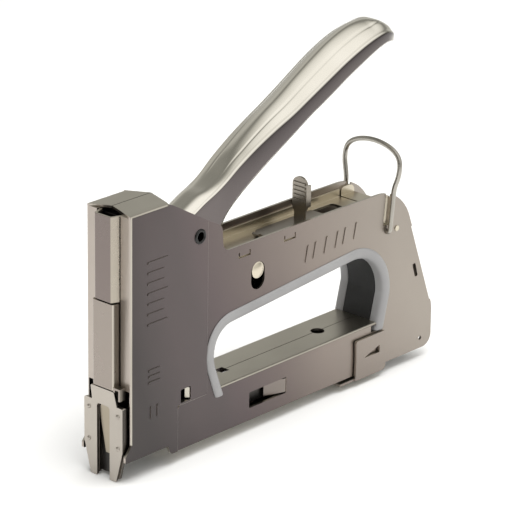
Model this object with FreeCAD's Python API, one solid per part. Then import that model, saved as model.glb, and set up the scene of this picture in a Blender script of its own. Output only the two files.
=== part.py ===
"""Nickel-plated hand staple gun, built as separate pressed-steel pieces.

Frame, in millimetres: the origin is where a staple leaves the nose. +X runs from the nose to
the rear of the body, +Z up, and Y = 0 is the middle plane. The left side is -Y.
"""
import FreeCAD, Part
import math
import os

V = FreeCAD.Vector

# Body shells
HALF_FRONT = 11.35          # outer half width of the front casing region
JOG = 0.5                   # the rear region is pressed inwards by this much
SHEET = 1.0
FLANGE_EDGE = 5.95          # front flanges end this far from the middle
CHANNEL_HALF_WIDE = 5.75
CHANNEL_FOOT = 70.0         # the striker cover ends just below the foot of the channel
COVER_HALF_WIDE = 5.5
COVER_FOOT = 36.1
COVER_TOP = CHANNEL_FOOT - 0.4
HALF_REAR = HALF_FRONT - JOG
IN_FRONT = HALF_FRONT - SHEET
IN_REAR = HALF_REAR - SHEET
HEAD_TOP = 104.0
FRONT_BOTTOM = 8.6
BAR_BOTTOM = 4.9
BAR_TOP = 23.6
DECK_TOP = 72.1
DECK_LIP = 75.2
REAR_END = 174.8
SLIT = 0.15                 # half the gap where left and right flanges meet
TOP_SLIT_Y = 2.4            # the gap in the head's top lies to the right of the middle
BEND = 0.9                  # outer radius of the folded edges
STEP_EDGE = 0.45            # rounding along the edge of the raised front region
RIB_HEIGHT = 0.3            # pressed ribs stand this proud

# Hinges: (x, z)
PIVOT = (36.1, 87.3)        # handle
FULCRUM = (55.1, 64.0)      # lifting lever
LEVER_PIN = (68.5, 65.3)    # domed pin seen in the side slot
BAIL_PIVOT = (144.5, 60.8)

# Nose
NOSE_HALF = 9.85
NOSE_GAP = 3.25
NOSE_TOP = 30.0

# Striker and staples
BLADE_HALF = 4.2
BLADE_BOTTOM = 1.2
HEAD_UNDER = 52.4           # underside of the striker head
STRIKER_TOP = 57.2          # stays below the foot of the front channel when lifted
STAPLE_HALF = 5.3
STAPLE_TOP = 17.9
STAPLE_LEG = 8.0
STRIP_FRONT = 0.9
STRIP_END = 46.0

# Magazine
CHANNEL_HALF = 6.3
CHANNEL_BOTTOM = 9.0
MAG_END = 150.0
ROD_Z = 20.2
CLIP_FRONT = 126.0
CLIP_REAR = 144.5
CLIP_BOTTOM = 2.6
CLIP_TOP = 19.5
CLIP_GAP = 0.4

# Finger window: inner edge of the grip trim as (x, z, corner radius)
WINDOW = [(50.6, 19.0, 0), (44.4, 36.0, 12), (46.3, 47.5, 10), (141.8, 55.2, 17.5),
          (142.6, 35.5, 6), (138.5, 19.0, 0)]
TRIM_WIDTH = 4.5
TRIM_WALL = 1.5
TRIM_PROUD = 0.9
LINER_HALF = 7.0

# Wire bail
BAIL_WIRE = 1.0
BAIL_LEG_Y = 12.25

SIDES = (-1, 1)


# ---------------------------------------------------------------- helpers
def rounded(points, place):
    """Closed wire through (u, v, radius) corners; place(u, v) gives the 3-D point."""
    starts, ends, arcs = [], [], []
    count = len(points)
    for i, (u, v, r) in enumerate(points):
        before = points[i - 1]
        after = points[(i + 1) % count]
        a = V(before[0] - u, before[1] - v, 0).normalize()
        b = V(after[0] - u, after[1] - v, 0).normalize()
        if r <= 0:
            starts.append((u, v))
            ends.append((u, v))
            arcs.append(None)
            continue
        half = math.acos(max(-1.0, min(1.0, a.dot(b)))) / 2
        reach = r / math.tan(half)
        mid = (a + b).normalize() * (r / math.sin(half) - r)
        starts.append((u + a.x * reach, v + a.y * reach))
        ends.append((u + b.x * reach, v + b.y * reach))
        arcs.append((u + mid.x, v + mid.y))
    edges = []
    for i in range(count):
        if arcs[i]:
            edges.append(Part.Arc(place(*starts[i]), place(*arcs[i]), place(*ends[i])).toShape())
        p, q = place(*ends[i]), place(*starts[(i + 1) % count])
        if p.distanceToPoint(q) > 1e-6:
            edges.append(Part.LineSegment(p, q).toShape())
    return Part.Wire(edges)


def with_radius(points):
    return [p if len(p) == 3 else (p[0], p[1], 0) for p in points]


def side_plate(points, y0, y1):
    """Flat plate between y0 and y1 with an outline in X and Z."""
    wire = rounded(with_radius(points), lambda x, z: V(x, y0, z))
    return Part.Face(wire).extrude(V(0, y1 - y0, 0))


def front_plate(points, x0, x1):
    """Flat plate between x0 and x1 with an outline in Y and Z."""
    wire = rounded(with_radius(points), lambda y, z: V(x0, y, z))
    return Part.Face(wire).extrude(V(x1 - x0, 0, 0))


def column(points, z0, z1):
    """Upright prism between z0 and z1 with an outline in X and Y."""
    wire = rounded(with_radius(points), lambda x, y: V(x, y, z0))
    return Part.Face(wire).extrude(V(0, 0, z1 - z0))


def box(x0, x1, y0, y1, z0, z1):
    return Part.makeBox(x1 - x0, y1 - y0, z1 - z0, V(x0, y0, z0))


def pin_y(centre, r, y0, y1):
    return Part.makeCylinder(r, y1 - y0, V(centre[0], y0, centre[1]), V(0, 1, 0))


def window_ring(inner, outer, y0, y1):
    """Ring between two offsets of the finger window's outline."""
    big = window_face(outer, y0).extrude(V(0, y1 - y0, 0))
    small = window_face(inner, y0).extrude(V(0, y1 - y0, 0))
    return big.cut(small)


def grown(points, grow):
    """Rounded outline with every side moved outwards by grow; the points run clockwise."""
    out = []
    count = len(points)
    for i, (u, v, r) in enumerate(points):
        before, after = points[i - 1], points[(i + 1) % count]
        a = V(u - before[0], v - before[1], 0).normalize()
        b = V(after[0] - u, after[1] - v, 0).normalize()
        na, nb = V(-a.y, a.x, 0), V(-b.y, b.x, 0)
        shift = (na + nb) * (grow / (1 + na.dot(nb)))
        out.append((u + shift.x, v + shift.y, max(r + grow, 0) if r else 0))
    return out


def window_face(grow, y):
    return Part.Face(rounded(grown(WINDOW, grow), lambda x, z: V(x, y, z)))


def fuse(shapes):
    whole = shapes[0].multiFuse(shapes[1:]) if len(shapes) > 1 else shapes[0]
    return whole.removeSplitter()


def mirrored(shape):
    return shape.mirror(V(0, 0, 0), V(0, 1, 0))


def obround(x0, x1, z0, z1, y0, y1):
    r = min(x1 - x0, z1 - z0) / 2 - 0.01
    return side_plate([(x0, z0, r), (x1, z0, r), (x1, z1, r), (x0, z1, r)], y0, y1)


def bend_cutter(start, along, u, v, r):
    """Tool that rounds one straight outer edge; u and v run from the edge into its two faces."""
    p, u, v = V(*start), V(*u), V(*v)
    middle = p + (u + v) * (r * (1 - math.sqrt(0.5)))
    wire = Part.Wire([Part.LineSegment(p, p + u * r).toShape(),
                      Part.Arc(p + u * r, middle, p + v * r).toShape(),
                      Part.LineSegment(p + v * r, p).toShape()])
    return Part.Face(wire).extrude(V(*along))


def coil(radius, wire, pitch, height, at, axis):
    helix = Part.makeHelix(pitch, height, radius)
    ring = Part.Wire(Part.Circle(V(radius, 0, 0), V(0, 1, 0), wire).toShape())
    solid = Part.Wire(helix).makePipeShell([ring], True, True)
    solid.Placement = FreeCAD.Placement(at, FreeCAD.Rotation(V(0, 0, 1), axis))
    return solid


# ---------------------------------------------------------------- body shells
SHELL = [(0, 14.5, 1.5), (-3.0, 11.0, 0.8), (-3.0, FRONT_BOTTOM, 0.5),
         (19.6, FRONT_BOTTOM, 0.8), (20.9, BAR_BOTTOM, 2.2), (REAR_END, BAR_BOTTOM - 0.5, 5), (174.5, 21.9, 12), (153.3, 77.4, 22),
         (118, 77.8, 60), (49.4, 77.7, 3.5), (48.6, 88.2, 3.5), (40.5, 92.4, 2),
         (20, HEAD_TOP, 6), (0, HEAD_TOP, 0.6)]
STEP_LINE = [(-5, 0), (25, 0), (25, 23.0, 1), (40.8, 23.0, 1), (40.8, 110), (-5, 110)]
SLOT_X = (64.8, 72.4)
SLOT_Z = (57.6, 68.6)
MAG_WINDOW = (64.7, 86.0, 9.7, 16.3)
GUIDE_WINDOW = (26.2, 31.6, 24.0, 29.3)
LANCES = (57.7, 83.2)       # front ends of the two lanced tabs below the deck
LANCE_Z = (72.6, 74.9)
SPACER = (150.5, 60.7)
# Pressed ribs on the raised front region and on the rear region: x, z, length, lean in degrees
FRONT_RIBS = [(8.4, z, 9.0 if i % 3 else 11.0, 0) for i, z in enumerate(range(60, 88, 4))]
FRONT_RIBS += [(9.0, z, 6.5, 0) for z in (37.0, 39.4, 41.8)]
FRONT_RIBS += [(10.5, 22.6, 5.0, 90), (14.0, 22.6, 5.0, 90)]
REAR_RIBS = [(x, 60.6 + 0.07 * (x - 94), 7.0, 78) for x in (96.0, 100.5, 107.0, 113.5, 118.0, 124.5)]


def window_cut(limits, r, y0, y1):
    x0, x1, z0, z1 = limits
    return side_plate([(x0, z0, r), (x1, z0, r), (x1, z1, r), (x0, z1, r)], y0, y1)


def lance_cut(x, y0, y1):
    """U-shaped slit around a small tab that is left joined along its top."""
    z0, z1 = LANCE_Z
    outer = box(x, x + 6.6, y0, y1, z0, z1)
    return outer.cut(box(x + 0.6, x + 6.0, y0, y1, z0 + 0.7, z1))


def shell_cutters(y0, y1):
    """Everything punched through one side plate."""
    cut = [window_face(TRIM_WALL, y0).extrude(V(0, y1 - y0, 0)).common(
        box(30, 150, y0, y1, BAR_TOP, 70))]
    cut.append(pin_y(PIVOT, 2.7, y0, y1))
    cut.append(pin_y(BAIL_PIVOT, BAIL_WIRE + 0.05, y0, y1))
    cut.append(pin_y(SPACER, 1.2, y0, y1))
    cut.append(pin_y((167.8, 8.8), 0.9, y0, y1))
    cut.append(obround(SLOT_X[0], SLOT_X[1], SLOT_Z[0], SLOT_Z[1], y0, y1))
    cut.append(side_plate([(141.8, 63.4, 1.6), (145.6, 63.4, 1.6), (147.3, 80), (143.5, 80)],
                          y0, y1))
    cut.append(window_cut(MAG_WINDOW, 0.6, y0, y1))
    cut.append(window_cut(GUIDE_WINDOW, 0.4, y0, y1))
    cut.append(side_plate([(161.2, 42.5, 0.6), (163.2, 36.6, 0.6), (165.0, 36.6, 0.6),
                           (163.2, 42.5, 0.6)], y0, y1))
    cut.append(window_cut((136.5, 139.5, 20.0, 23.0), 0.4, y0, y1))
    cut += [lance_cut(x, y0, y1) for x in LANCES]
    return cut


def folded_edges():
    """Tools that round the folds and the raised region's edge of the left shell."""
    into_x, into_y, down = (1, 0, 0), (0, 1, 0), (0, 0, -1)
    rear_low, rear_high = V(174.5, 0, 21.9), V(153.3, 0, 77.4)
    rise = (rear_high - rear_low).normalize()
    inward = (-rise.z, 0, rise.x)
    start = rear_low + rise * 2.4
    length = rise * 37.5
    step_x, step_z, _ = STEP_LINE[3]
    return [
        bend_cutter((0, -HALF_FRONT, 15.0), (0, 0, 95), into_x, into_y, BEND),
        bend_cutter((44.0, -HALF_REAR, BAR_TOP), (98.0, 0, 0), down, into_y, BEND),
        bend_cutter((start.x, -HALF_REAR, start.z), tuple(length), inward, into_y, BEND),
        bend_cutter((step_x, -HALF_FRONT, step_z), (0, 0, 70), (-1, 0, 0), into_y, STEP_EDGE),
        bend_cutter((25.0, -HALF_FRONT, step_z), (16, 0, 0), (0, 0, 1), into_y, STEP_EDGE),
        bend_cutter((25.0, -HALF_FRONT, 0), (0, 0, step_z + 0.4), (-1, 0, 0), into_y, STEP_EDGE),
    ]


def rib(x, z, length, lean, y_face):
    """Obround pressed rib that starts at (x, z) on the side plate."""
    r = 0.55
    a = math.radians(lean)
    ux, uz = math.cos(a), math.sin(a)
    ends = [(x - uz * r, z + ux * r), (x + ux * length - uz * r, z + uz * length + ux * r),
            (x + ux * length + uz * r, z + uz * length - ux * r), (x + uz * r, z - ux * r)]
    return side_plate([(u, v, r - 0.01) for u, v in ends], y_face - RIB_HEIGHT, y_face + 0.2)


def top_flange(slit):
    """Left half of the head's top; slit is where it ends, measured across from the middle."""
    return column([(0, -HALF_FRONT + 0.5), (19.6, -HALF_FRONT + 0.5), (20.6, -9.0), (24.3, slit),
                   (4.2, slit), (2.4, min(slit, 0) - 3.5), (0, -9.9)], HEAD_TOP - SHEET, HEAD_TOP)


def shell_half():
    """Left shell without the top of the head."""
    whole = side_plate(SHELL, -HALF_FRONT, -IN_REAR)
    front_zone = side_plate(STEP_LINE, -HALF_FRONT, -IN_FRONT)
    trim_seat = window_face(TRIM_WIDTH + 0.1, -HALF_FRONT - 1).extrude(V(0, 1 + JOG, 0))
    inner_front = side_plate([(-5, 0), (24, 0), (24, 24.0), (39.8, 24.0), (39.8, 110), (-5, 110)],
                             -HALF_FRONT, 0)
    front = whole.common(front_zone).cut(trim_seat)
    rear = whole.common(box(-1, 180, -HALF_REAR, -IN_REAR, 0, 110)).cut(inner_front)
    plate = front.fuse(rear)
    plate = plate.cut(Part.makeCompound(shell_cutters(-HALF_FRONT - 1, -IN_REAR + 1)))

    front_flange = box(0, SHEET, -HALF_FRONT + 0.5, -FLANGE_EDGE, 36.0, HEAD_TOP - 0.8)
    bar_flange = box(44.0, 143.5, -HALF_REAR + 0.5, -SLIT, BAR_TOP - SHEET, BAR_TOP)
    bar_flange = bar_flange.cut(Part.makeCylinder(2.8, 5, V(116.5, 0, BAR_TOP - 3)))
    bar_flange = bar_flange.cut(box(59.0, 63.0, -2.0, 1, BAR_TOP - 3, BAR_TOP + 1))
    rear_flange = side_plate([(160.2, 59.0), (173.6, 24.2), (172.6, 24.2), (159.2, 58.7)],
                             -HALF_REAR + 0.5, -SLIT)
    shell = fuse([plate, front_flange, bar_flange, rear_flange])
    shell = shell.cut(Part.makeCompound(folded_edges()))

    window_tab = column([(85.6, -HALF_REAR), (86.6, -IN_REAR + 0.2), (76.8, -6.8), (76.4, -7.7)],
                        MAG_WINDOW[2] + 0.5, MAG_WINDOW[3] - 0.5)
    guide_tab = column([(31.4, -HALF_REAR), (32.8, -HALF_REAR), (30.8, -8.8), (30.2, -9.6)],
                       GUIDE_WINDOW[2] + 0.6, GUIDE_WINDOW[3] - 0.6)
    ribs = [rib(*place, -HALF_FRONT) for place in FRONT_RIBS]
    ribs += [rib(*place, -HALF_REAR) for place in REAR_RIBS]
    return fuse([shell, window_tab, guide_tab] + ribs)


def with_top(half_shell, slit):
    fold = bend_cutter((0, -HALF_FRONT, HEAD_TOP), (19.2, 0, 0), (0, 0, -1), (0, 1, 0), BEND)
    return fuse([half_shell, top_flange(slit)]).cut(fold)


def left_shell():
    return with_top(shell_half(), TOP_SLIT_Y - SLIT)


def right_shell():
    return mirrored(with_top(shell_half(), -TOP_SLIT_Y - SLIT))


# ---------------------------------------------------------------- front and nose
def hat(z0, z1, x_front, half_front, half_base, wall):
    """Upright hat-section channel whose open side faces the body."""
    outer = [(1.0, 9.0), (1.0, half_base), (x_front, half_front, 1.0),
             (x_front, -half_front, 1.0), (1.0, -half_base), (1.0, -9.0), (1.8, -9.0),
             (1.8, -half_base + wall), (x_front + wall, -half_front + wall, 0.4),
             (x_front + wall, half_front - wall, 0.4), (1.8, half_base - wall), (1.8, 9.0)]
    return column(outer, z0, z1)


def front_channel():
    return hat(CHANNEL_FOOT, HEAD_TOP - 1.05, -3.2, 4.2, CHANNEL_HALF_WIDE, 0.8)


def striker_cover():
    """Lower front cover; its bottom left corner runs out into a hook for the tongue."""
    cover = hat(COVER_FOOT, COVER_TOP, -3.4, 5.3, COVER_HALF_WIDE, 0.8)
    hook = box(-3.2, -0.1, -8.6, -5.2, 32.6, 37.4).cut(box(-4, 1, -7.8, -6.1, 30, 36.6))
    return fuse([cover, hook.cut(box(-4, 1, -6.1, -5.0, 30, 35.7))])


def prong_outline(half, gap, bottom, top):
    """Fork with two tapered prongs, as (y, z, r)."""
    right = [(gap, bottom, 0.4), (gap + 3.3, bottom, 0.8), (half, 12.6, 0.8), (half, top, 0.8)]
    left = [(-y, z, r) for y, z, r in reversed(right)]
    return left + [(-gap, 29.0, 1.2), (gap, 29.0, 1.2)] + right


def nose_plate():
    outline = prong_outline(NOSE_HALF, NOSE_GAP, 0.0, NOSE_TOP)
    plate = front_plate(outline, -3.1, -2.1)
    plate = plate.fuse(front_plate([(5.6, NOSE_TOP - 1), (6.6, 35.5, 0.6), (-5.4, 35.5, 0.6),
                                    (-7.2, NOSE_TOP - 1)], -3.1, -2.1))
    dimples = [Part.makeSphere(0.9, V(-2.9, side * y, z)).common(box(-4, -2.6, -20, 20, 0, 40))
               for side in SIDES for y, z in ((7.4, 26.4), (7.4, 13.6))]
    return fuse([plate] + dimples)


def nose_guide():
    right = [(NOSE_GAP - 0.3, 0.9, 0.4), (7.4, 0.9, 0.6), (9.6, 9.4, 0.8), (9.6, NOSE_TOP, 0.8)]
    left = [(-y, z, r) for y, z, r in reversed(right)]
    outline = left + [(-NOSE_GAP + 0.3, 29.0, 1.2), (NOSE_GAP - 0.3, 29.0, 1.2)] + right
    plate = front_plate(outline, -2.1, -1.1)
    ears = [box(-1.5, 8.0, min(s * 8.8, s * 9.5), max(s * 8.8, s * 9.5), 11.4, 29.5)
            for s in SIDES]
    return fuse([plate] + ears)


def nose_tongue():
    half = NOSE_GAP - 0.6
    leaf = side_plate([(-2.1, 29.0), (-2.1, 27.5, 8), (-1.3, 9.5), (-0.8, 9.5),
                       (-1.3, 26.0, 12), (-1.3, 29.0)], -half, half)
    return leaf.common(front_plate([(-half, 9.5), (0.4, 9.5), (half, 24.0), (half, 27.6),
                                    (1.7, 29.0), (-1.7, 29.0), (-half, 27.6)], -5, 5))


# ---------------------------------------------------------------- deck and fixed frame
def deck_plate():
    """Channel between the shells; its sides turn up and end below the shells' top edges."""
    deck = box(54.5, 138.6, -IN_REAR, IN_REAR, DECK_TOP - 1.0, DECK_LIP)
    deck = deck.cut(box(50, 160, -IN_REAR + 0.8, IN_REAR - 0.8, DECK_TOP, DECK_LIP + 1))
    deck = deck.cut(box(50.0, 58.0, -20, 20, DECK_TOP, DECK_LIP + 1))
    return deck.cut(column([(97.0, -6.0, 1.5), (130.5, -6.0, 1.5), (130.5, 6.0, 1.5),
                            (97.0, 6.0, 1.5)], DECK_TOP - 3, DECK_TOP + 3))


def bail_bracket():
    """U-shaped bearing behind the bail slots; its floor carries the deck on to the rear."""
    outline = [(139.4, 57.6, 1.5), (139.4, 75.6, 2), (147.5, 75.6, 3), (147.5, 57.6, 1.5)]
    outer = side_plate(outline, -IN_REAR, IN_REAR)
    bracket = outer.cut(box(130, 160, -IN_REAR + 0.9, IN_REAR - 0.9, DECK_TOP, 80))
    bracket = bracket.cut(box(130, 160, -IN_REAR + 0.9, IN_REAR - 0.9, 50, DECK_TOP - 1.0))
    return bracket.cut(pin_y(BAIL_PIVOT, BAIL_WIRE + 0.05, -20, 20))


def handle_pivot():
    tube = pin_y(PIVOT, 2.6, -HALF_FRONT - 0.6, HALF_FRONT + 0.6)
    rims = [pin_y(PIVOT, 3.0, min(s * HALF_FRONT, s * (HALF_FRONT + 0.6)),
                  max(s * HALF_FRONT, s * (HALF_FRONT + 0.6))) for s in SIDES]
    return fuse([tube] + rims).cut(pin_y(PIVOT, 1.7, -20, 20))


def frame_spacers():
    """Spacer bars that hold the two shells apart; the rear one has small riveted heads."""
    front = pin_y((28.0, 76.0), 2.6, -IN_FRONT, IN_FRONT)
    rear = fuse([pin_y(SPACER, 2.6, -IN_REAR, IN_REAR),
                 pin_y(SPACER, 1.2, -HALF_REAR - 0.4, HALF_REAR + 0.4)])
    return Part.makeCompound([front, rear])


def lever_fulcrum():
    return pin_y(FULCRUM, 2.0, -IN_REAR, IN_REAR)


def buffer_bracket():
    return box(2.2, 9.0, -IN_FRONT, IN_FRONT, 44.0, 46.0)


def buffer():
    return column([(2.6, -4.0, 1), (8.6, -4.0, 1), (8.6, 4.0, 1), (2.6, 4.0, 1)], 46.0, 52.1)


def spring_seat():
    plate = box(3.0, 18.0, -IN_FRONT, IN_FRONT, 100.0, 101.5)
    guide = Part.makeCylinder(2.6, 24.0, V(10.0, 0, 76.0))
    return fuse([plate, guide])


def base_plate():
    return box(24.0, 116.0, -IN_REAR, IN_REAR, BAR_BOTTOM, BAR_BOTTOM + 1.0)


def magazine_guides():
    guides = []
    for s in SIDES:
        y0, y1 = sorted((s * (CHANNEL_HALF + 0.35), s * IN_REAR))
        guides.append(box(26.0, 60.0, y0, y1, 6.2, 15.0))
        guides.append(box(90.0, 120.0, y0, y1, 6.2, 15.0))
    return Part.makeCompound(guides)


# ---------------------------------------------------------------- firing parts
def striker():
    blade = box(-0.5, 0.5, -BLADE_HALF, BLADE_HALF, BLADE_BOTTOM, STRIKER_TOP)
    head = box(-0.5, 17.5, -BLADE_HALF, BLADE_HALF, HEAD_UNDER, STRIKER_TOP)
    return fuse([blade, head])


def main_spring():
    return coil(4.8, 0.9, 6.2, 40.4, V(10.0, 0, 58.6), V(0, 0, 1))


def lifting_lever():
    outline = [(12.4, 48.3, 1.5), (40.0, 52.5, 10), (58.0, 58.2, 5), (74.2, 60.2, 4),
               (73.4, 70.0, 4), (58.0, 70.0, 6), (40.0, 60.6, 8), (21.0, 51.9, 3),
               (12.4, 51.9, 1.2)]
    lever = side_plate(outline, -4.4, 4.4)
    lever = lever.cut(side_plate([(19.0, 40.0), (80.0, 40.0), (80.0, 80.0), (19.0, 80.0)],
                                 -3.2, 3.2))
    web = side_plate([(42.0, 53.2), (52.0, 56.5), (52.0, 58.5), (42.0, 55.2)], -4.4, 4.4)
    lever = fuse([lever, web])
    lever = lever.cut(pin_y(FULCRUM, 2.05, -20, 20))
    return lever.cut(pin_y(LEVER_PIN, 2.4, -20, 20))


def lever_pin():
    shank = pin_y(LEVER_PIN, 2.4, -IN_REAR, IN_REAR)
    heads = []
    for s in SIDES:
        y0, y1 = sorted((s * (IN_REAR - 0.4), s * (HALF_REAR + 0.1)))
        disc = pin_y(LEVER_PIN, 3.3, y0, y1)
        dome = Part.makeSphere(6.5, V(LEVER_PIN[0], s * (HALF_REAR + 0.8 - 6.5), LEVER_PIN[1]))
        y2, y3 = sorted((s * HALF_REAR, s * (HALF_REAR + 2)))
        dome = dome.common(pin_y(LEVER_PIN, 3.3, y2, y3))
        heads += [disc, dome]
    return fuse([shank] + heads)


# ---------------------------------------------------------------- handle
# Stations along the grip: x, shoulder height, half width, lower edge, crown above the shoulder
GRIP = [(50.0, 100.4, 7.0, 88.0, 0.9), (57.0, 104.4, 7.2, 92.2, 0.6),
        (71.0, 113.2, 8.0, 102.2, 1.9), (90.0, 122.4, 9.0, 113.7, 3.9),
        (109.2, 132.0, 9.7, 124.1, 5.4), (126.0, 139.8, 10.2, 132.8, 5.4),
        (139.2, 143.3, 9.7, 138.1, 4.2), (148.0, 142.4, 7.8, 137.6, 2.6),
        (154.0, 139.2, 4.6, 136.8, 0.8)]
GRIP_HOLLOW = GRIP[:-1] + [(152.6, 140.0, 5.6, 136.8, 0.8)]
HANDLE_WALL = 1.2


def grip_section(x, shoulder, half, low, crown, wall, drop):
    """Closed inverted-U outline across the handle at x; wall thins it for the hollow."""
    half, shoulder, low = half - wall, shoulder - wall, low - drop
    corner = 1.3
    rise = crown * 0.95
    points = [(half, low, 0), (-half, low, 0), (-half, shoulder, corner),
              (-half * 0.45, shoulder + rise, half * 0.5), (half * 0.45, shoulder + rise, half * 0.5),
              (half, shoulder, corner)]
    return rounded(points, lambda y, z: V(x, y, z))


def handle():
    outer = Part.makeLoft([grip_section(*s, 0.0, 0.0) for s in GRIP], True, False)
    inner = Part.makeLoft([grip_section(*s, HANDLE_WALL, 4.0) for s in GRIP_HOLLOW], True, False)
    grip = outer.cut(inner).cut(box(40, 50.01, -9, 9, 70, 120))
    root_line = [(30.6, 83.4, 4), (31.0, 92.0, 1), (37.2, 94.7, 4), (52.0, 101.2, 1),
                 (52.0, 86.6, 3), (50.0, 78.6, 2), (43.5, 78.6, 2), (40.0, 80.6, 3)]
    root = side_plate(root_line, -7.0, 7.0)
    hollow = side_plate([(25.0, 70.0), (29.0, 91.0), (31.0, 91.0), (36.8, 93.5), (51.4, 99.8),
                         (60.0, 99.8), (60.0, 70.0)], -5.7, 5.7)
    root = root.cut(hollow)
    return fuse([grip, root]).cut(pin_y(PIVOT, 2.65, -20, 20))


def handle_spring():
    spring = coil(3.9, 0.5, 1.5, 7.5, V(PIVOT[0], -3.75, PIVOT[1]), V(0, 1, 0))
    return spring


# ---------------------------------------------------------------- force selector
SELECTOR_X = 104.4
TAB_TOP = 91.0


def force_selector():
    """Thumb tab that stands on a slim slide; the slide's front end is hooked."""
    tab = front_plate([(-2.6, DECK_TOP + 0.2), (-2.6, 76.5, 1), (-3.6, 78.5, 2),
                       (-3.6, TAB_TOP, 3.4), (3.6, TAB_TOP, 3.4), (3.6, 78.5, 2), (2.6, 76.5, 1),
                       (2.6, DECK_TOP + 0.2)], SELECTOR_X - 0.5, SELECTOR_X + 0.5)
    ribs = [box(SELECTOR_X - 1.0, SELECTOR_X - 0.4, -3.0, 3.0, TAB_TOP - drop, TAB_TOP - drop + 0.8)
            for drop in (3.0, 4.7, 6.4, 8.1, 9.8)]
    folds = [box(SELECTOR_X - 0.5, SELECTOR_X + 2.2, min(s * 2.8, s * 3.6), max(s * 2.8, s * 3.6),
                 79.0, TAB_TOP - 3.2) for s in SIDES]
    slide = column([(80.0, 1.6, 0.8), (84.0, 4.4, 2), (116.0, 4.4, 1), (116.0, -4.4, 1),
                    (84.0, -4.4, 2), (80.0, -1.6, 0.8)], DECK_TOP + 0.2, DECK_TOP + 1.3)
    hook = side_plate([(80.0, DECK_TOP + 0.2), (78.6, DECK_TOP + 1.9, 0.4), (79.2, DECK_TOP + 2.5, 0.3),
                       (81.6, DECK_TOP + 1.3), (81.6, DECK_TOP + 0.2)], -1.6, 1.6)
    return fuse([tab, slide, hook] + ribs + folds)


def selector_slider():
    neck = box(100.0, 110.0, -4.0, 4.0, DECK_TOP - 1.4, DECK_TOP + 0.2)
    block = box(98.0, 112.0, -7.4, 7.4, 64.0, DECK_TOP - 1.4)
    return fuse([neck, block])


# ---------------------------------------------------------------- wire bail
BAIL_LEAN = 0.105           # how far the upright bail leans to the rear, per unit of height
BAIL_FOOT = 1.3             # radius of the bend at each pivot end
# Half of the arch as (distance from the middle, height above the pivot)
BAIL_ARCH = [(BAIL_LEG_Y, 15.0), (13.5, 21.8), (14.0, 26.4), (12.9, 30.2), (9.8, 32.7),
             (5.6, 34.1), (0.0, 34.7)]


def bail_point(y, height):
    return V(BAIL_PIVOT[0] + BAIL_LEAN * height, y, BAIL_PIVOT[1] + height)


def wire_bail():
    """Round wire: a stub into each shell, a straight leg, and the arch above."""
    arch = [bail_point(y, h) for y, h in BAIL_ARCH]
    arch += [bail_point(-y, h) for y, h in reversed(BAIL_ARCH[:-1])]
    rise = (bail_point(0, 1) - bail_point(0, 0)).normalize()
    curve = Part.BSplineCurve()
    curve.interpolate(Points=arch, InitialTangent=rise, FinalTangent=rise * -1)
    edges = [curve.toShape()]
    for side in SIDES:
        foot = bail_point(side * BAIL_LEG_Y, 0)
        inner = V(foot.x, side * (IN_REAR - 2.0), foot.z)
        across = V(0, side, 0)
        start, end = foot - across * BAIL_FOOT, foot + rise * BAIL_FOOT
        middle = foot + (rise - across) * (BAIL_FOOT * (1 - math.sqrt(0.5)))
        edges.append(Part.LineSegment(inner, start).toShape())
        edges.append(Part.Arc(start, middle, end).toShape())
        edges.append(Part.LineSegment(end, bail_point(side * BAIL_LEG_Y, 15.0)).toShape())
    path = Part.Wire(Part.__sortEdges__(edges))
    stub = bail_point(-IN_REAR + 2.0, 0)
    ring = Part.Wire(Part.Circle(stub, V(0, 1, 0), BAIL_WIRE).toShape())
    return path.makePipeShell([ring], True, False)


# ---------------------------------------------------------------- grip trims
def trim_half(side):
    """C-shaped soft edging over one shell's finger window."""
    inner_y, outer_y = LINER_HALF, HALF_REAR + TRIM_PROUD
    y0, y1 = sorted((side * HALF_REAR, side * outer_y))
    face = window_ring(0, TRIM_WIDTH, y0, y1).common(box(30, 160, y0, y1, 20.0, 80))
    y2, y3 = sorted((side * inner_y, side * HALF_REAR))
    wrap = window_ring(0, TRIM_WALL, y2, y3).common(box(30, 160, y2, y3, BAR_TOP, 80))
    return fuse([face, wrap])


def grip_liner():
    ring = window_ring(0.2, TRIM_WALL + 0.8, -LINER_HALF, LINER_HALF)
    return ring.common(box(30, 160, -20, 20, BAR_TOP, 80))


# ---------------------------------------------------------------- magazine
def u_channel(x0, x1, half, wall, z0, z1):
    return box(x0, x1, -half, half, z0, z1).cut(box(x0 - 1, x1 + 1, -half + wall, half - wall,
                                                    z0 + wall, z1 + 1))


def magazine_channel():
    return u_channel(STRIP_FRONT, MAG_END, CHANNEL_HALF, 0.8, CHANNEL_BOTTOM, 16.0)


def magazine_rail():
    top = STAPLE_TOP - 0.7
    rail = box(STRIP_FRONT, MAG_END - 1, -4.5, 4.5, CHANNEL_BOTTOM + 0.8, top)
    rail = rail.cut(box(-5, MAG_END + 5, -3.7, 3.7, CHANNEL_BOTTOM, top - 0.8))
    stop = box(137.0, 141.0, -3.6, 3.6, top, ROD_Z + 1.9)
    return fuse([rail, stop])


def staple_strip():
    top = STAPLE_TOP
    strip = box(STRIP_FRONT, STRIP_END, -STAPLE_HALF, STAPLE_HALF, top - STAPLE_LEG, top)
    return strip.cut(box(-5, 60, -STAPLE_HALF + 0.7, STAPLE_HALF - 0.7, 0, top - 0.7))


def pusher():
    x0, x1 = STRIP_END + 0.3, 60.0
    block = box(x0, x1, -STAPLE_HALF, STAPLE_HALF, 11.0, ROD_Z + 1.9)
    block = block.cut(box(x0 - 1, x1 + 1, -4.7, 4.7, 9.0, STAPLE_TOP - 0.4))
    bore = Part.makeCylinder(1.15, 40, V(x0 - 5, 0, ROD_Z), V(1, 0, 0))
    return block.cut(bore)


def pusher_rod():
    return Part.makeCylinder(0.9, 137.0 - 40.0, V(40.0, 0, ROD_Z), V(1, 0, 0))


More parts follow.
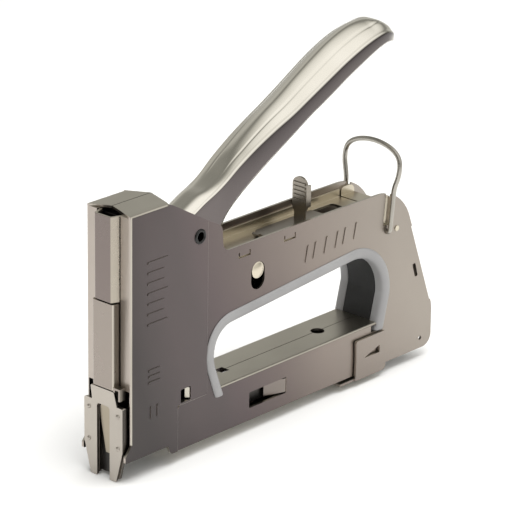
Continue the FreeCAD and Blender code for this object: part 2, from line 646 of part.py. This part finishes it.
def pusher_spring():
    return coil(1.5, 0.25, 3.2, 76.4, V(60.3, 0, ROD_Z), V(1, 0, 0))


def magazine_latch():
    """Sheet clip that wraps under the bar and holds the magazine shut."""
    inner = HALF_REAR + CLIP_GAP
    outer = inner + SHEET
    sides = []
    for s in SIDES:
        y0, y1 = sorted((s * inner, s * outer))
        sides.append(side_plate([(CLIP_FRONT, CLIP_BOTTOM), (CLIP_FRONT + 0.4, 11.0, 20),
                                 (CLIP_FRONT, CLIP_TOP, 1.0), (CLIP_REAR, CLIP_TOP, 1.5),
                                 (CLIP_REAR, CLIP_BOTTOM, 2.0)], y0, y1))
        lance = side_plate([(131.0, 11.2), (140.6, 11.0), (140.6, 14.2)], y0, y1)
        sides[-1] = sides[-1].cut(lance)
    floor = box(CLIP_FRONT, CLIP_REAR - 1.5, -outer, outer, CLIP_BOTTOM, CLIP_BOTTOM + 1.0)
    lip = box(117.5, CLIP_FRONT, -outer + 0.6, outer - 0.6, CLIP_BOTTOM, CLIP_BOTTOM + 1.0)
    post = box(128.0, 142.0, -5.0, 5.0, CLIP_BOTTOM + 1.0, CHANNEL_BOTTOM)
    return fuse(sides + [floor, lip, post])


def build():
    trim = trim_half(-1)
    return {
        "left_shell": left_shell(),
        "right_shell": right_shell(),
        "front_channel": front_channel(),
        "striker_cover": striker_cover(),
        "nose_plate": nose_plate(),
        "nose_guide": nose_guide(),
        "nose_tongue": nose_tongue(),
        "deck_plate": deck_plate(),
        "bail_bracket": bail_bracket(),
        "base_plate": base_plate(),
        "handle": handle(),
        "handle_pivot": handle_pivot(),
        "handle_spring": handle_spring(),
        "lifting_lever": lifting_lever(),
        "lever_pin": lever_pin(),
        "lever_fulcrum": lever_fulcrum(),
        "striker": striker(),
        "main_spring": main_spring(),
        "spring_seat": spring_seat(),
        "buffer": buffer(),
        "buffer_bracket": buffer_bracket(),
        "force_selector": force_selector(),
        "selector_slider": selector_slider(),
        "wire_bail": wire_bail(),
        "grip_trim_left": trim,
        "grip_trim_right": mirrored(trim),
        "grip_liner": grip_liner(),
        "magazine_guides": magazine_guides(),
        "magazine_channel": magazine_channel(),
        "magazine_rail": magazine_rail(),
        "staple_strip": staple_strip(),
        "pusher": pusher(),
        "pusher_rod": pusher_rod(),
        "pusher_spring": pusher_spring(),
        "magazine_latch": magazine_latch(),
        "frame_spacers": frame_spacers(),
    }


os.makedirs("parts", exist_ok=True)
for name, shape in build().items():
    assert shape.isValid(), name
    print(f"{name:18s} solids {len(shape.Solids)}  volume {shape.Volume:9.1f}")
    shape.exportStep(f"parts/{name}.step")
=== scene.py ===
"""Looks of the hand staple gun: meshes, materials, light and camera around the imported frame."""
import math

import bmesh
import bpy
from mathutils import Matrix, Vector


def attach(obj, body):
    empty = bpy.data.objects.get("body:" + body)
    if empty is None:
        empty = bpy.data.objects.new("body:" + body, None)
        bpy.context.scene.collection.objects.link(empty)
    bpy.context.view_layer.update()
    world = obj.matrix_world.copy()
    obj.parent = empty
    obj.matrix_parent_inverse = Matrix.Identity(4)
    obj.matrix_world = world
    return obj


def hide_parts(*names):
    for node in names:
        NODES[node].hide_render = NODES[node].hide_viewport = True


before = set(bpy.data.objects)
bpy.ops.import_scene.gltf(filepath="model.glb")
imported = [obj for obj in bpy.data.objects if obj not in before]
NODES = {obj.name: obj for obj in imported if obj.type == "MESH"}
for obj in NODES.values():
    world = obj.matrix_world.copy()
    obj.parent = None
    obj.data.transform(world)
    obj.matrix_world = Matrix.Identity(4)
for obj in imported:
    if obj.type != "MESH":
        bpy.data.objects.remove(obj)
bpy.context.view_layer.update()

MM = 0.001

# Hand-held studio view: the tool's left side and its front
CAMERA_AT = Vector((-0.7147, -0.7113, 0.4656))
CAMERA_AZIMUTH = -48.15
CAMERA_ELEVATION = 20.59
CAMERA_ROLL = 0.91
CAMERA_LENS = 210.1

PIVOT = Vector((36.1, 0, 87.3)) * MM


# ---------------------------------------------------------------- shader helpers
class Shader:
    """A material under construction, with one Principled shader."""

    def __init__(self, name, **sockets):
        self.material = bpy.data.materials.new(name)
        self.material.use_nodes = True
        self.tree = self.material.node_tree
        self.principled = self.tree.nodes["Principled BSDF"]
        for socket, value in sockets.items():
            self.principled.inputs[socket.replace("_", " ")].default_value = value

    def node(self, kind, **values):
        made = self.tree.nodes.new(kind)
        for key, value in values.items():
            if hasattr(made, key):
                setattr(made, key, value)
            else:
                made.inputs[key.replace("_", " ")].default_value = value
        return made

    def link(self, source, target):
        self.tree.links.new(source, target)

    def place(self, stretch=(1, 1, 1)):
        """Object coordinates, stretched along an axis for grain or scratches."""
        coordinates = self.node("ShaderNodeTexCoord")
        mapping = self.node("ShaderNodeMapping")
        mapping.inputs["Scale"].default_value = stretch
        self.link(coordinates.outputs["Object"], mapping.inputs["Vector"])
        return mapping.outputs["Vector"]

    def noise(self, vector, scale, detail=3.0, roughness=0.55):
        made = self.node("ShaderNodeTexNoise", Scale=scale, Detail=detail, Roughness=roughness)
        self.link(vector, made.inputs["Vector"])
        return made.outputs["Fac"]

    def ramp(self, factor, low, high, start=0.35, end=0.65):
        made = self.node("ShaderNodeValToRGB")
        made.color_ramp.elements[0].position = start
        made.color_ramp.elements[1].position = end
        made.color_ramp.elements[0].color = low + (1,)
        made.color_ramp.elements[1].color = high + (1,)
        self.link(factor, made.inputs["Fac"])
        return made.outputs["Color"]

    def mix(self, factor, first, second):
        made = self.node("ShaderNodeMix", data_type="RGBA")
        self.link(factor, made.inputs[0])
        for source, socket in ((first, 6), (second, 7)):
            if isinstance(source, tuple):
                made.inputs[socket].default_value = source
            else:
                self.link(source, made.inputs[socket])
        return made.outputs[2]

    def spread(self, factor, low, high):
        made = self.node("ShaderNodeMapRange")
        made.inputs["To Min"].default_value = low
        made.inputs["To Max"].default_value = high
        self.link(factor, made.inputs["Value"])
        return made.outputs["Result"]

    def bump(self, height, distance, strength=1.0, below=None):
        made = self.node("ShaderNodeBump", Distance=distance, Strength=strength)
        self.link(height, made.inputs["Height"])
        if below is not None:
            self.link(below, made.inputs["Normal"])
        return made.outputs["Normal"]

    def set(self, socket, source):
        self.link(source, self.principled.inputs[socket])


def facing(shader, axis, start, end):
    """White on faces whose normal lies along the axis, either way, and black on all others."""
    geometry = shader.node("ShaderNodeTexCoord")
    parts = shader.node("ShaderNodeSeparateXYZ")
    shader.link(geometry.outputs["Normal"], parts.inputs[0])
    size = shader.node("ShaderNodeMath", operation="ABSOLUTE")
    shader.link(parts.outputs[axis], size.inputs[0])
    return shader.ramp(size.outputs[0], (0, 0, 0), (1, 1, 1), start, end)


def painted_shading_drift(shader, stops, rise=0.37, level=0.06):
    """Painted light and shade that drifts along the body; stops are (x in metres, colour).

    The painted shading also shifts with height: rise is the drift in x for each unit above level.
    """
    place = shader.node("ShaderNodeTexCoord")
    parts = shader.node("ShaderNodeSeparateXYZ")
    shader.link(place.outputs["Object"], parts.inputs[0])
    slope = shader.node("ShaderNodeMath", operation="MULTIPLY_ADD")
    slope.inputs[1].default_value = rise
    slope.inputs[2].default_value = -rise * level
    shader.link(parts.outputs["Z"], slope.inputs[0])
    waver = shader.spread(shader.noise(place.outputs["Object"], 14, 2), -0.012, 0.012)
    total = shader.node("ShaderNodeMath", operation="ADD")
    shader.link(slope.outputs[0], total.inputs[0])
    shader.link(parts.outputs["X"], total.inputs[1])
    wavy = shader.node("ShaderNodeMath", operation="ADD")
    shader.link(total.outputs[0], wavy.inputs[0])
    shader.link(waver, wavy.inputs[1])
    low, high = stops[0][0], stops[-1][0]
    reach = shader.node("ShaderNodeMapRange")
    reach.inputs["From Min"].default_value = low
    reach.inputs["From Max"].default_value = high
    shader.link(wavy.outputs[0], reach.inputs["Value"])
    made = shader.node("ShaderNodeValToRGB")
    band = made.color_ramp
    band.elements[0].color, band.elements[1].color = stops[0][1] + (1,), stops[-1][1] + (1,)
    band.elements[0].position, band.elements[1].position = 0.0, 1.0
    for x, colour in stops[1:-1]:
        band.elements.new((x - low) / (high - low)).color = colour + (1,)
    shader.link(reach.outputs["Result"], made.inputs["Fac"])
    return made.outputs["Color"]


def plated_metal(name, dark, light, rough, grain=0.000008, smudge=0.06, scratch=0.4, sides_painted_shading=None,
                 mask=(0.85, 0.97), front=None, shade=None):
    """Nickel-plated pressed steel: faint tone at random, smudges, fine grain and hairline scratches.

    The side colour is painted reflection and shade on the broad faces to the left and right, set by
    face direction and changing along the body;
    the front colour is painted light and shade on faces towards the nose, and shade a painted shade
    colour that comes in with the mesh attribute "shade".
    """
    s = Shader(name, Metallic=1.0)
    spot = s.place()
    tint_and_painted_shading = s.ramp(s.noise(spot, 28, 2), dark, light, 0.3, 0.7)
    # painted light and shade on the faces towards the nose, set by face direction
    if front:
        tint_and_painted_shading = s.mix(facing(s, "X", 0.75, 0.95), tint_and_painted_shading, front + (1,))
    if sides_painted_shading:
        # painted reflection and shade on the side faces, set by face direction
        tint_and_painted_shading = s.mix(facing(s, "Y", *mask), tint_and_painted_shading, painted_shading_drift(s, sides_painted_shading))
    if shade:
        wall = s.node("ShaderNodeAttribute", attribute_name="shade")
        tint_and_painted_shading = s.mix(wall.outputs["Fac"], tint_and_painted_shading, shade + (1,))
    s.set("Base Color", tint_and_painted_shading)
    smudges = s.noise(spot, 95, 4, 0.6)
    s.set("Roughness", s.spread(smudges, rough - smudge, rough + smudge))
    fine = s.noise(spot, 2600, 2)
    lines = s.noise(s.place((60, 60, 2400)), 1.0, 2, 0.7)
    normal = s.bump(s.noise(spot, 60, 1), 0.00012, 0.3)
    normal = s.bump(fine, grain, 0.6, normal)
    s.set("Normal", s.bump(lines, 0.000006, scratch, normal))
    return s.material


def soft_plastic(name, dark, light, rough, grain):
    """Moulded soft-touch plastic or rubber with a fine eroded texture."""
    s = Shader(name)
    spot = s.place()
    s.set("Base Color", s.ramp(s.noise(spot, 40, 3), dark, light))
    s.set("Roughness", s.spread(s.noise(spot, 300, 3), rough - 0.07, rough + 0.07))
    normal = s.bump(s.noise(spot, 1500, 3), grain, 0.7)
    s.set("Normal", s.bump(s.noise(spot, 90, 2), grain * 4, 0.3, normal))
    return s.material


def studio_floor():
    s = Shader("floor_paper", Roughness=0.85)
    spot = s.place()
    s.set("Base Color", s.ramp(s.noise(spot, 6, 2), (0.86, 0.86, 0.86), (0.9, 0.9, 0.895)))
    s.set("Normal", s.bump(s.noise(spot, 700, 2), 0.00003, 0.3))
    return s.material


# Painted reflection and shade: the body's side faces dark at the nose and lighter towards the rear
BODY_SIDES_PAINTED_REFLECTION = [(-0.005, (0.074, 0.067, 0.066)), (0.020, (0.108, 0.092, 0.092)),
              (0.034, (0.112, 0.096, 0.096)), (0.045, (0.128, 0.105, 0.106)),
              (0.070, (0.168, 0.139, 0.130)), (0.100, (0.255, 0.217, 0.193)),
              (0.150, (0.340, 0.304, 0.268))]
# Painted shade: dark side faces of the nose plates and tongue
DEEP_PAINTED_SHADE = [(0.0, (0.07, 0.062, 0.055)), (0.1, (0.09, 0.08, 0.07))]
# Painted shade: darker side faces of the striker cover
COVER_SIDES_PAINTED_SHADE = [(0.0, (0.20, 0.18, 0.155)), (0.1, (0.22, 0.195, 0.17))]
# Painted shade: darker slanted and side faces of the front channel
RIDGE_PAINTED_SHADE = [(-0.01, (0.42, 0.38, 0.32)), (0.1, (0.40, 0.36, 0.31))]
# Painted shade: dark side walls of the handle
WALL_PAINTED_SHADE = [(0.03, (0.16, 0.14, 0.136)), (0.10, (0.13, 0.114, 0.114)), (0.15, (0.15, 0.134, 0.13))]
# The front and side colours given to these materials are painted light and shade in the base colour.
MATERIALS = {
    "body": plated_metal("body_nickel", (0.46, 0.43, 0.37), (0.56, 0.53, 0.46), 0.32,
                         sides_painted_shading=BODY_SIDES_PAINTED_REFLECTION, front=(0.46, 0.41, 0.37)),
    "deck": plated_metal("deck_nickel", (0.55, 0.50, 0.40), (0.66, 0.60, 0.49), 0.30),
    "tab": plated_metal("tab_nickel", (0.27, 0.245, 0.21), (0.34, 0.31, 0.27), 0.30),
    "nose": plated_metal("nose_nickel", (0.42, 0.385, 0.345), (0.50, 0.46, 0.41), 0.30,
                         sides_painted_shading=DEEP_PAINTED_SHADE),
    "channel": plated_metal("channel_nickel", (0.50, 0.46, 0.39), (0.56, 0.51, 0.44), 0.28,
                            sides_painted_shading=RIDGE_PAINTED_SHADE, mask=(0.3, 0.7), front=(0.225, 0.19, 0.178)),
    "cover": plated_metal("cover_nickel", (0.50, 0.46, 0.40), (0.56, 0.52, 0.45), 0.28,
                          sides_painted_shading=COVER_SIDES_PAINTED_SHADE, mask=(0.80, 0.95), front=(0.33, 0.29, 0.26)),
    "tongue": plated_metal("tongue_nickel", (0.34, 0.30, 0.23), (0.40, 0.35, 0.28), 0.3,
                           sides_painted_shading=DEEP_PAINTED_SHADE),
    "bright": plated_metal("handle_nickel", (0.70, 0.67, 0.60), (0.78, 0.75, 0.68), 0.17,
                           grain=0.000004, smudge=0.04, scratch=0.3, sides_painted_shading=WALL_PAINTED_SHADE,
                           mask=(0.86, 0.97), shade=(0.075, 0.065, 0.065)),
    "wire": plated_metal("drawn_wire", (0.32, 0.30, 0.27), (0.42, 0.40, 0.36), 0.24),
    "rivet": plated_metal("blackened_steel", (0.03, 0.03, 0.03), (0.05, 0.05, 0.05), 0.3),
    "tool": plated_metal("oiled_steel", (0.055, 0.052, 0.05), (0.09, 0.085, 0.08), 0.38),
    "spring": plated_metal("oiled_spring", (0.10, 0.095, 0.09), (0.16, 0.15, 0.145), 0.3),
    "staple": plated_metal("staple_wire", (0.45, 0.37, 0.25), (0.58, 0.49, 0.36), 0.33),
    "trim": soft_plastic("pale_trim", (0.28, 0.276, 0.28), (0.33, 0.326, 0.33), 0.42, 0.000006),
    "liner": soft_plastic("black_liner", (0.008, 0.008, 0.008), (0.015, 0.015, 0.015), 0.65, 0.00004),
}
LOOKS = {
    "body": ("left_shell", "right_shell", "base_plate", "magazine_latch"),
    "deck": ("deck_plate", "bail_bracket", "lever_pin", "frame_spacers"),
    "tab": ("force_selector",),
    "nose": ("nose_plate", "nose_guide"),
    "channel": ("front_channel",),
    "cover": ("striker_cover",),
    "tongue": ("nose_tongue",),
    "bright": ("handle",),
    "rivet": ("handle_pivot",),
    "spring": ("handle_spring", "main_spring", "pusher_spring"),
    "wire": ("wire_bail",),
    "trim": ("grip_trim_left", "grip_trim_right"),
    "liner": ("grip_liner", "buffer"),
    "staple": ("staple_strip",),
    "tool": ("lifting_lever", "lever_fulcrum", "striker", "spring_seat", "buffer_bracket",
             "selector_slider", "magazine_guides", "magazine_channel", "magazine_rail", "pusher",
             "pusher_rod"),
}
NODE_LOOKS = {name: look for look, names in LOOKS.items() for name in names}


# Thin round pieces whose meshes are smooth as they are
CURVED = ("handle_spring", "main_spring", "pusher_spring", "wire_bail", "pusher_rod")
SHARP = math.radians(24)
EDGE_WIDTH = 0.14 * MM
EDGE_ANGLE = math.radians(32)
FLAT_ANGLE = math.radians(0.6)


def shading_group():
    """Joins the split faces of a CAD mesh and smooths them except across real edges."""
    tree = bpy.data.node_groups.new("join_and_smooth", "GeometryNodeTree")
    tree.interface.new_socket("Geometry", in_out="INPUT", socket_type="NodeSocketGeometry")
    tree.interface.new_socket("Geometry", in_out="OUTPUT", socket_type="NodeSocketGeometry")
    start, end = tree.nodes.new("NodeGroupInput"), tree.nodes.new("NodeGroupOutput")
    plain = tree.nodes.new("GeometryNodeRemoveAttribute")
    plain.inputs["Name"].default_value = "custom_normal"
    merge = tree.nodes.new("GeometryNodeMergeByDistance")
    merge.inputs["Distance"].default_value = 2e-6
    faces = tree.nodes.new("GeometryNodeSetShadeSmooth")
    edges = tree.nodes.new("GeometryNodeSetShadeSmooth")
    edges.domain = "EDGE"
    edges.inputs["Shade Smooth"].default_value = False
    angle = tree.nodes.new("GeometryNodeInputMeshEdgeAngle")
    sharp = tree.nodes.new("FunctionNodeCompare")
    sharp.inputs["B"].default_value = SHARP
    links = tree.links
    links.new(start.outputs[0], plain.inputs["Geometry"])
    links.new(plain.outputs["Geometry"], merge.inputs["Geometry"])
    links.new(merge.outputs["Geometry"], faces.inputs["Geometry"])
    links.new(faces.outputs["Geometry"], edges.inputs["Geometry"])
    links.new(angle.outputs["Unsigned Angle"], sharp.inputs["A"])
    links.new(sharp.outputs["Result"], edges.inputs["Selection"])
    links.new(edges.outputs["Geometry"], end.inputs[0])
    return tree


def soften(piece, group):
    """Fine rounded edges on a CAD node, so that they catch the light."""
    piece.modifiers.new("join", "NODES").node_group = group
    flat = piece.modifiers.new("flat", "DECIMATE")
    flat.decimate_type = "DISSOLVE"
    flat.angle_limit = FLAT_ANGLE
    edge = piece.modifiers.new("edge", "BEVEL")
    edge.width = EDGE_WIDTH
    edge.segments = 2
    edge.limit_method = "ANGLE"
    edge.angle_limit = EDGE_ANGLE
    edge.harden_normals = True
    edge.miter_outer = "MITER_ARC"


def dress_frame():
    """Materials and softened edges for the CAD nodes."""
    group = shading_group()
    for name, node in NODES.items():
        node.data.materials.clear()
        node.data.materials.append(MATERIALS[NODE_LOOKS[name]])
        if name not in CURVED:
            soften(node, group)


# ---------------------------------------------------------------- mesh helpers
def mesh_object(name, verts, faces, look):
    """A smooth-shaded object in one material."""
    data = bpy.data.meshes.new(name)
    data.from_pydata([tuple(v) for v in verts], [], faces)
    data.validate()
    made = bpy.data.objects.new(name, data)
    bpy.context.collection.objects.link(made)
    data.materials.append(MATERIALS[look])
    for face in data.polygons:
        face.use_smooth = True
    return made


def recalc(made):
    mesh = bmesh.new()
    mesh.from_mesh(made.data)
    bmesh.ops.recalc_face_normals(mesh, faces=mesh.faces)
    mesh.to_mesh(made.data)
    mesh.free()


def clamp(value):
    return min(1.0, max(0.0, value))


def spline(values, t):
    """Catmull-Rom through equally spaced rows of numbers, t from 0 to 1."""
    span = t * (len(values) - 1)
    i = min(int(span), len(values) - 2)
    f = span - i
    rows = [values[max(i - 1, 0)], values[i], values[i + 1], values[min(i + 2, len(values) - 1)]]
    out = []
    for a, b, c, d in zip(*rows):
        out.append(0.5 * (2 * b + (c - a) * f + (2 * a - 5 * b + 4 * c - d) * f * f
                          + (3 * b - a - 3 * c + d) * f ** 3))
    return out


# ---------------------------------------------------------------- handle
# x, shoulder height, half width, lower edge, crown above the shoulder, corner radius, in mm
GRIP = [(31.0, 92.0, 7.0, 84.0, 1.4, 1.0), (37.0, 94.6, 7.0, 80.2, 2.0, 1.0),
        (43.0, 97.6, 7.0, 79.6, 1.8, 1.0), (49.0, 100.1, 7.0, 81.5, 0.9, 1.0),
        (54.5, 103.0, 7.1, 89.6, 0.5, 1.0), (61.6, 107.9, 7.5, 95.9, 0.9, 1.2),
        (71.0, 113.3, 8.0, 102.2, 1.9, 1.3), (80.5, 118.0, 8.5, 108.0, 3.0, 1.4),
        (90.0, 122.2, 9.0, 113.7, 3.9, 1.4), (99.6, 127.0, 9.3, 119.2, 4.8, 1.4),
        (109.2, 131.9, 9.7, 124.1, 5.3, 1.4), (118.8, 136.6, 10.0, 129.3, 5.4, 1.4),
        (128.6, 140.5, 10.15, 133.9, 5.0, 1.4), (136.5, 142.6, 9.9, 137.0, 4.2, 1.4),
        (143.0, 143.0, 9.0, 138.2, 3.4, 1.3), (148.5, 141.6, 7.3, 137.6, 2.2, 1.2),
        (152.3, 139.4, 4.9, 136.6, 1.1, 0.9), (153.9, 137.6, 2.2, 136.2, 0.3, 0.5)]
CREASE_AT = 0.42            # share of the way from the shoulder to the middle
CREASE_WIDE = 0.045
CREASE_DEEP = 0.28
DOME_FROM, DOME_TO = 54.0, 150.0
DOME_FADE = 12.0            # the dome grows and fades over this length at either end
SHADE_FROM, SHADE_FADE = 50.0, 20.0
FLAT_POWER, DOME_POWER = 5.0, 1.7
HANDLE_WALL = 1.2


def grip_profile(shoulder, half, low, crown, corner, dome):
    """Half of the handle's outer section from the lower edge to the middle: (y, z, shade).

    The back is flat with round edges where dome is 0 and evenly domed where it is 1.
    """
    points = []
    for k in range(9):
        t = k / 8
        points.append((half, low + (shoulder - corner - low) * t, t ** 1.5))
    for k in range(1, 5):
        a = math.radians(90 * k / 4)
        points.append((half - corner + corner * math.cos(a),
                       shoulder - corner + corner * math.sin(a), 0.6 if k == 1 else 0.0))
    flat = half - corner
    power = FLAT_POWER + (DOME_POWER - FLAT_POWER) * dome
    for k in range(1, 25):
        u = k / 24
        rise = crown * (1 - (1 - u) ** power)
        crease = CREASE_DEEP * dome * math.exp(-((u - CREASE_AT) / CREASE_WIDE) ** 2)
        points.append((flat * (1 - u), shoulder + rise - crease, 0.0))
    return points


def make_handle():
    """Domed inverted-U pressing; a crease on either side sets the dome off from its edges."""
    steps = 120
    verts, faces, shade = [], [], []
    for i in range(steps + 1):
        x, *rest = spline(GRIP, i / steps)
        dome = clamp((x - DOME_FROM) / DOME_FADE) * clamp((DOME_TO - x) / DOME_FADE)
        half = grip_profile(*rest, dome)
        row = [(-y, z, s) for y, z, s in half] + [(y, z, s) for y, z, s in reversed(half[:-1])]
        verts += [Vector((x, y, z)) * MM for y, z, _ in row]
        shade += [s * clamp((x - SHADE_FROM) / SHADE_FADE) for _, _, s in row]
    width = len(row)
    for i in range(steps):
        for j in range(width - 1):
            a = i * width + j
            faces.append((a, a + 1, a + width + 1, a + width))
    made = mesh_object("handle_shell", verts, faces, "bright")
    tone = made.data.attributes.new("shade", "FLOAT", "POINT")
    tone.data.foreach_set("value", shade)
    recalc(made)
    solid = made.modifiers.new("wall", "SOLIDIFY")
    solid.thickness = HANDLE_WALL * MM
    solid.offset = -1
    solid.use_even_offset = True
    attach(made, "handle")
    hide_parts("handle")


# ---------------------------------------------------------------- grip trims
# Inner edge of the trim round the finger window: x, z, corner radius, in mm
WINDOW = [(50.6, 19.0, 0), (44.4, 36.0, 12), (46.3, 47.5, 10), (141.8, 55.2, 17.5),
          (142.6, 35.5, 6), (138.5, 19.0, 0)]
# Section of the soft edging: distance outwards from the window's edge, distance from the middle
TRIM_SECTION = [(1.45, 7.02), (1.45, 10.6), (4.40, 10.6), (4.48, 10.95), (4.30, 11.30),
                (3.85, 11.56), (3.2, 11.70), (2.4, 11.74), (1.6, 11.68), (0.95, 11.48),
                (0.45, 11.12), (0.15, 10.6), (0.02, 9.9), (0.02, 7.5), (0.2, 7.1), (0.6, 7.02)]
TRIM_FOOT = 20.1            # both ends of the trim stop at this height


def window_line(grow, arc_steps=14, straight_steps=6):
    """Points along the window outline moved outwards by grow, always the same number."""
    count = len(WINDOW)
    corners = []
    for i in range(1, count - 1):
        here, before, after = (Vector(WINDOW[k][:2]) for k in (i, i - 1, i + 1))
        a, b = (here - before).normalized(), (after - here).normalized()
        na, nb = Vector((-a.y, a.x)), Vector((-b.y, b.x))
        corner = here + (na + nb) * (grow / (1 + na.dot(nb)))
        turn = math.acos(max(-1, min(1, a.dot(b))))
        r = WINDOW[i][2] + grow
        reach = r * math.tan(turn / 2)
        centre = corner - a * reach - na * r
        arc = []
        for k in range(arc_steps + 1):
            t = k / arc_steps * turn
            arc.append(centre + na * (r * math.cos(t)) + a * (r * math.sin(t)))
        corners.append(arc)
    first, last = Vector(WINDOW[0][:2]), Vector(WINDOW[-1][:2])
    a = (Vector(WINDOW[1][:2]) - first).normalized()
    b = (last - Vector(WINDOW[-2][:2])).normalized()
    start = first + Vector((-a.y, a.x)) * grow
    end = last + Vector((-b.y, b.x)) * grow
    start += a * ((TRIM_FOOT - start.y) / a.y)
    end += b * ((TRIM_FOOT - end.y) / b.y)
    knots = [[start]] + corners + [[end]]
    line = [start]
    for before, after in zip(knots, knots[1:]):
        for k in range(1, straight_steps + 1):
            line.append(before[-1].lerp(after[0], k / straight_steps))
        line += after[1:]
    return line


def make_trim(name, side, node):
    """Soft edging swept round the finger window."""
    rails = [window_line(grow) for grow, _ in TRIM_SECTION]
    count, rows = len(TRIM_SECTION), len(rails[0])
    verts, faces = [], []
    for j in range(rows):
        for (_, y), rail in zip(TRIM_SECTION, rails):
            verts.append(Vector((rail[j].x, side * y, rail[j].y)) * MM)
    for j in range(rows - 1):
        for i in range(count):
            a, b = j * count + i, j * count + (i + 1) % count
            faces.append((a, b, b + count, a + count))
    faces.append(tuple(range(count)))
    faces.append(tuple(range((rows - 1) * count, rows * count)))
    made = mesh_object(name, verts, faces, "trim")
    recalc(made)
    edge = made.modifiers.new("edge", "BEVEL")
    edge.width = 0.35 * MM
    edge.segments = 3
    edge.limit_method = "ANGLE"
    edge.angle_limit = math.radians(50)
    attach(made, "frame")
    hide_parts(node)


# ---------------------------------------------------------------- rivet
def make_rivet():
    """Hollow rivet with rolled rims, turned round the handle's axis."""
    section = [(1.65, 11.0), (1.7, 11.5), (1.95, 11.85), (2.35, 11.93), (2.7, 11.78),
               (2.92, 11.52), (2.95, 11.37), (2.55, 11.33), (2.55, 5.0)]
    section += [(r, -y) for r, y in reversed(section)]
    turns = 48
    verts = [PIVOT + Vector((r * math.cos(a), y, r * math.sin(a))) * MM
             for a in (2 * math.pi * k / turns for k in range(turns)) for r, y in section]
    count = len(section)
    faces = []
    for k in range(turns):
        for i in range(count):
            a, b = k * count + i, k * count + (i + 1) % count
            c = ((k + 1) % turns) * count
            faces.append((a, b, c + (i + 1) % count, c + i))
    made = mesh_object("rolled_rivet", verts, faces, "rivet")
    recalc(made)
    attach(made, "frame")
    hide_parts("handle_pivot")


# ---------------------------------------------------------------- studio
def make_floor():
    bpy.ops.mesh.primitive_plane_add(size=8, location=(0, 0, -0.0002))
    floor = bpy.context.object
    floor.name = "studio_floor"
    floor.data.materials.append(studio_floor())


def area_light(name, at, target, size, power):
    data = bpy.data.lights.new(name, "AREA")
    data.shape = "RECTANGLE"
    data.size, data.size_y = size
    data.energy = power
    lamp = bpy.data.objects.new(name, data)
    lamp.location = at
    lamp.rotation_mode = "QUATERNION"
    lamp.rotation_quaternion = (Vector(target) - Vector(at)).to_track_quat("-Z", "Y")
    bpy.context.collection.objects.link(lamp)
    return lamp


SOFTBOX = Vector((0.10, -0.55, 0.83)).normalized()
# Brightness of the surround against the cosine of the angle from the softbox's middle
SURROUND = [(-1.0, 0.50), (-0.2, 0.50), (0.02, 0.60), (0.18, 0.36), (0.32, 0.24), (0.44, 0.33),
            (0.56, 0.62), (0.72, 0.92), (0.95, 1.20)]
SURROUND_POWER = 1.3


def make_surround():
    """Wide softbox overhead to the left, with dimmer surroundings that the metal mirrors."""
    world = bpy.data.worlds.new("studio")
    world.use_nodes = True
    tree = world.node_tree
    place = tree.nodes.new("ShaderNodeTexCoord")
    towards = tree.nodes.new("ShaderNodeVectorMath")
    towards.operation = "DOT_PRODUCT"
    towards.inputs[1].default_value = SOFTBOX
    reach = tree.nodes.new("ShaderNodeMapRange")
    reach.inputs["From Min"].default_value = -1.0
    glow = tree.nodes.new("ShaderNodeValToRGB")
    band = glow.color_ramp
    band.elements[1].position = (SURROUND[-1][0] + 1) / 2
    for _ in SURROUND[2:]:
        band.elements.new(0.5)
    for element, (cosine, bright) in zip(band.elements, SURROUND):
        level = bright / SURROUND_POWER
        element.position = (cosine + 1) / 2
        element.color = (level, level * 0.99, level * (0.90 + 0.07 * level), 1)
    background = tree.nodes["Background"]
    background.inputs["Strength"].default_value = SURROUND_POWER
    tree.links.new(place.outputs["Generated"], towards.inputs[0])
    tree.links.new(towards.outputs["Value"], reach.inputs["Value"])
    tree.links.new(reach.outputs["Result"], glow.inputs["Fac"])
    tree.links.new(glow.outputs["Color"], background.inputs["Color"])
    bpy.context.scene.world = world


def make_studio():
    make_surround()
    lamp = area_light("overhead", (0.10, -0.10, 0.95), (0.08, 0, 0.0), (1.0, 0.8), 9.5)
    lamp.visible_glossy = False
    bpy.context.scene.view_settings.view_transform = "Standard"


def make_camera():
    """Long lens from the front left, a little above."""
    az, el, roll = map(math.radians, (CAMERA_AZIMUTH, CAMERA_ELEVATION, CAMERA_ROLL))
    back = Vector((math.sin(az) * math.cos(el), -math.cos(az) * math.cos(el), math.sin(el)))
    side = Vector((0, 0, 1)).cross(back).normalized()
    up = back.cross(side)
    right = side * math.cos(roll) + up * math.sin(roll)
    upright = up * math.cos(roll) - side * math.sin(roll)
    data = bpy.data.cameras.new("camera")
    data.lens = CAMERA_LENS
    data.clip_start = 0.05
    camera = bpy.data.objects.new("camera", data)
    axes = Matrix((right, upright, back)).transposed()
    camera.matrix_world = Matrix.Translation(CAMERA_AT) @ axes.to_4x4()
    bpy.context.collection.objects.link(camera)
    bpy.context.scene.camera = camera


make_camera()
make_studio()
make_floor()
dress_frame()
make_handle()
make_trim("soft_edge_left", -1, "grip_trim_left")
make_trim("soft_edge_right", 1, "grip_trim_right")
make_rivet()
